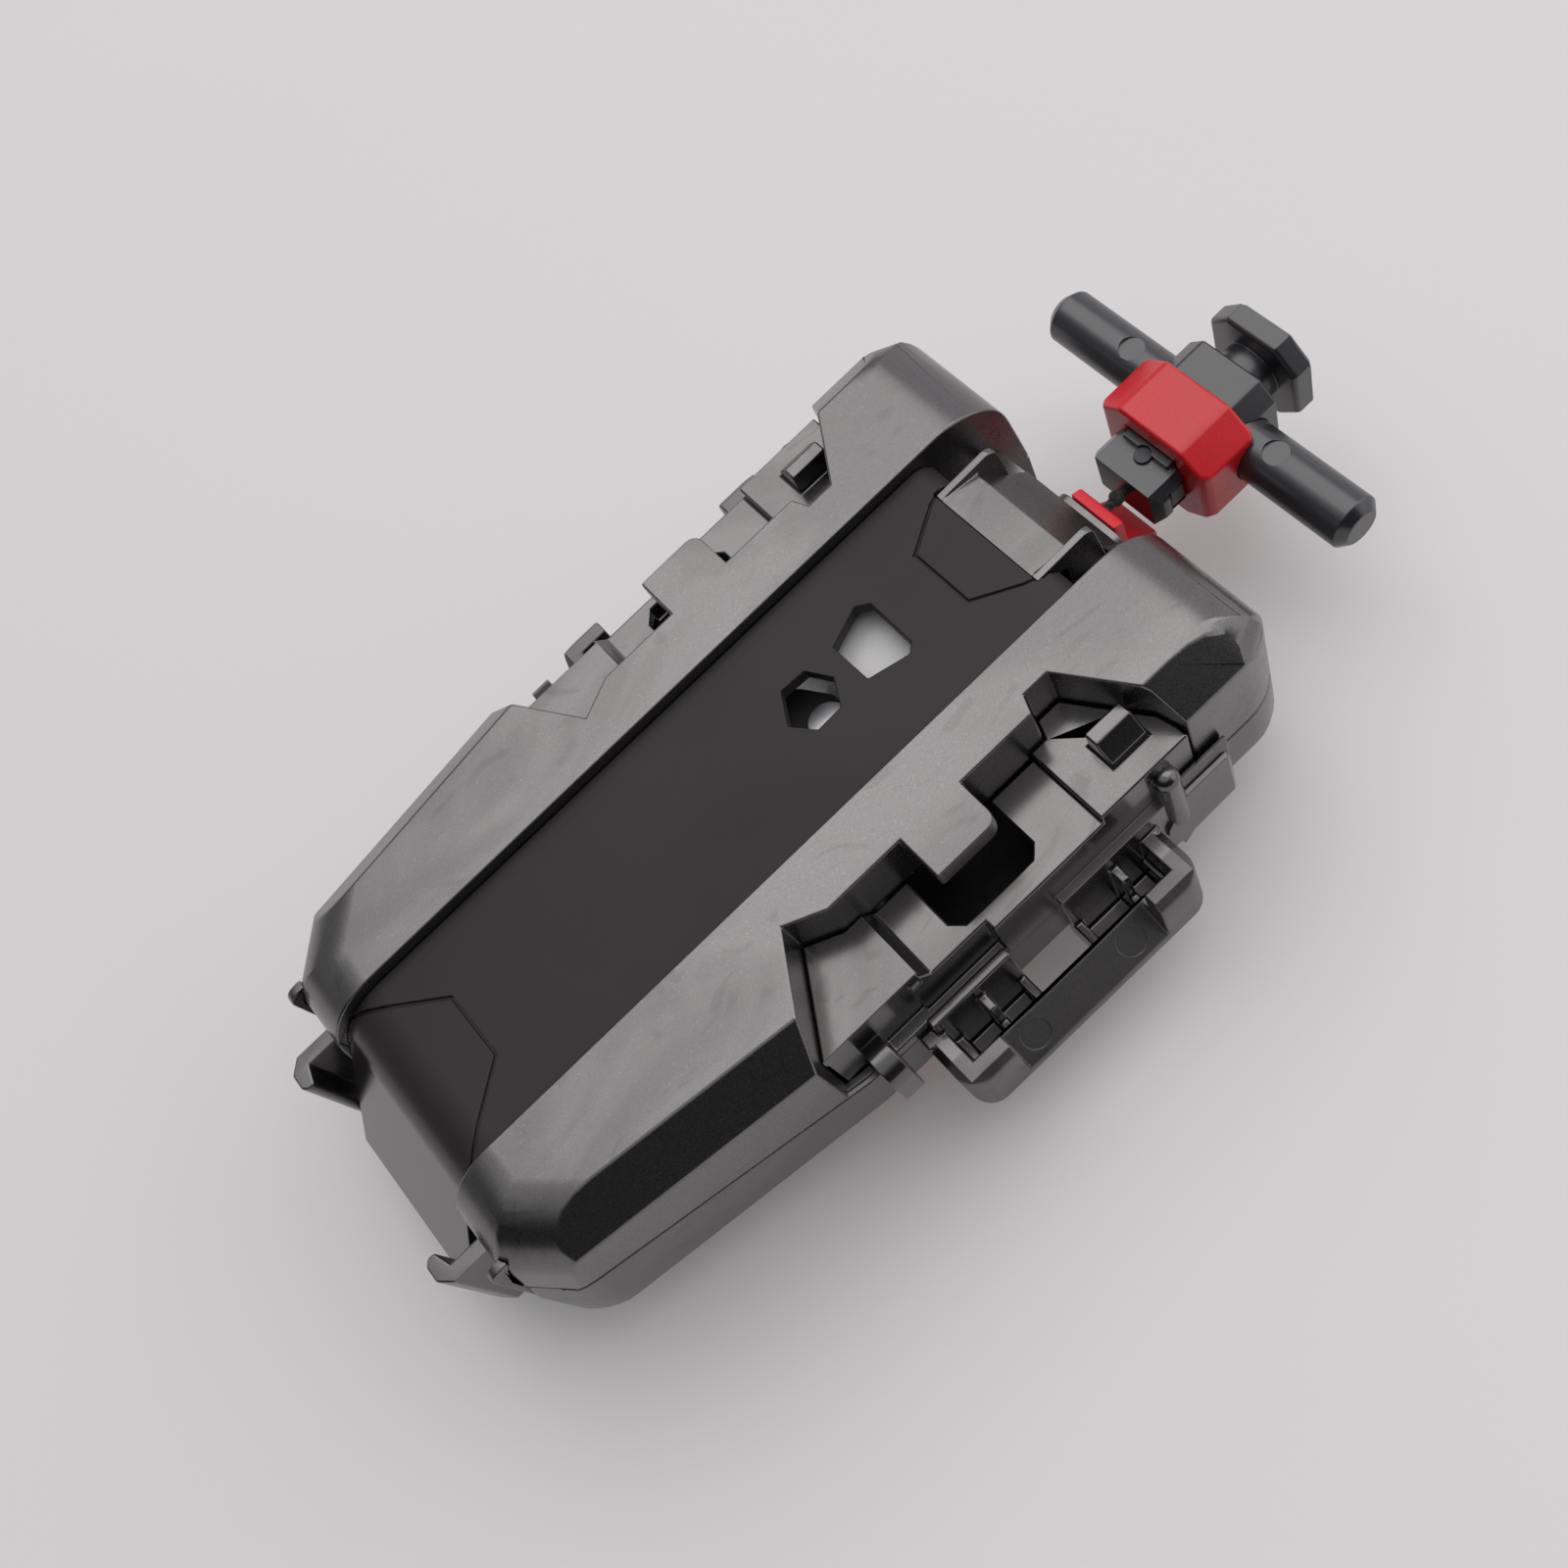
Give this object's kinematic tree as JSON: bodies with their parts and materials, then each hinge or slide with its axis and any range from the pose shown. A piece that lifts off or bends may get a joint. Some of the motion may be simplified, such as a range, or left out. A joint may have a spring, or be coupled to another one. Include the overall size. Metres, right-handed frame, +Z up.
{
  "type": "spinning top launcher",
  "caption": "Hand-held string launcher: a geared, clawed rotor under a bevelled two-shell housing spins a top when its T-handle is pulled on a wound string.",
  "frame": {"origin": "On the floor under the middle of the whole part's plan, with the base ring standing on Z = 0", "axes": "+X runs along the housing towards the T-handle, +Y across it to the left side, +Z up through the panel"},
  "size_m": [0.151, 0.0824, 0.0386],
  "materials": {
    "shell_pearl": "satin pearl grey with fine metallic speckle",
    "shell_gunmetal": "satin pearl grey, a little darker",
    "frame_gunmetal": "semi-gloss gunmetal with flow marks",
    "panel_black": "matte near-black",
    "red_plastic": "gloss red",
    "red_gloss": "gloss red with soft edges",
    "inner_dark": "dark grey",
    "inner_white": "smooth off-white acetal",
    "steel": "drawn steel",
    "brass": "plain brass",
    "string_black": "braided cord",
    "handle_grey": "satin dark grey"
  },
  "bodies": {
    "housing": {"upper_shell": "shell_pearl", "lower_shell": "shell_gunmetal", "centre_panel": "panel_black", "far_bridge": "shell_pearl", "string_guide": "red_plastic", "side_frame_left": "frame_gunmetal", "side_frame_right": "frame_gunmetal", "base_ring": "red_plastic", "gear_plate": "inner_dark", "spool_shaft": "steel", "idler_shaft": "steel", "rotor_bush": "brass", "case_screws": "steel", "plate_screws": "steel", "string_run": "string_black"},
    "spool": {"string_spool": "inner_white", "spool_gear": "inner_white", "string_winding": "string_black", "spiral_spring": "steel", "spring_cover": "inner_white"},
    "idler": {"idler_gear": "inner_white", "idler_pinion": "inner_white"},
    "rotor": {"rotor_shaft": "steel", "rotor_pinion": "inner_white", "ratchet_wheel": "inner_dark", "clutch_spring": "steel", "claw_hub": "inner_dark", "shaft_clip": "steel"},
    "handle": {"handle_core": "handle_grey", "handle_collar": "red_gloss", "grip_bar": "handle_grey", "retaining_pin": "inner_dark", "handle_clip": "inner_dark", "string_knot": "string_black", "string_lead": "string_black"}
  },
  "joints": [
    {"name": "string_pull", "type": "slide", "parent": "housing", "child": "handle", "axis": [1, 0, 0], "range_m": [0, 0.5], "stiffness_N_per_m": 2, "springref_m": -0.05},
    {"name": "spool_spin", "type": "hinge", "parent": "housing", "child": "spool", "pos_m": [0.02085, 0, 0], "axis": [0, 0, 1], "range_deg": [-3600, 0]},
    {"name": "idler_spin", "type": "hinge", "parent": "housing", "child": "idler", "pos_m": [0.00335, 0, 0], "axis": [0, 0, 1], "range_deg": [0, 7900]},
    {"name": "rotor_spin", "type": "hinge", "parent": "housing", "child": "rotor", "pos_m": [-0.01515, 0, 0], "axis": [0, 0, 1], "range_deg": [-18600, 0]}
  ],
  "couplings": [
    {"joint": "spool_spin", "follows": "string_pull", "rad_per_m": -125},
    {"joint": "idler_spin", "follows": "string_pull", "rad_per_m": 272.73},
    {"joint": "rotor_spin", "follows": "string_pull", "rad_per_m": -644.63}
  ]
}
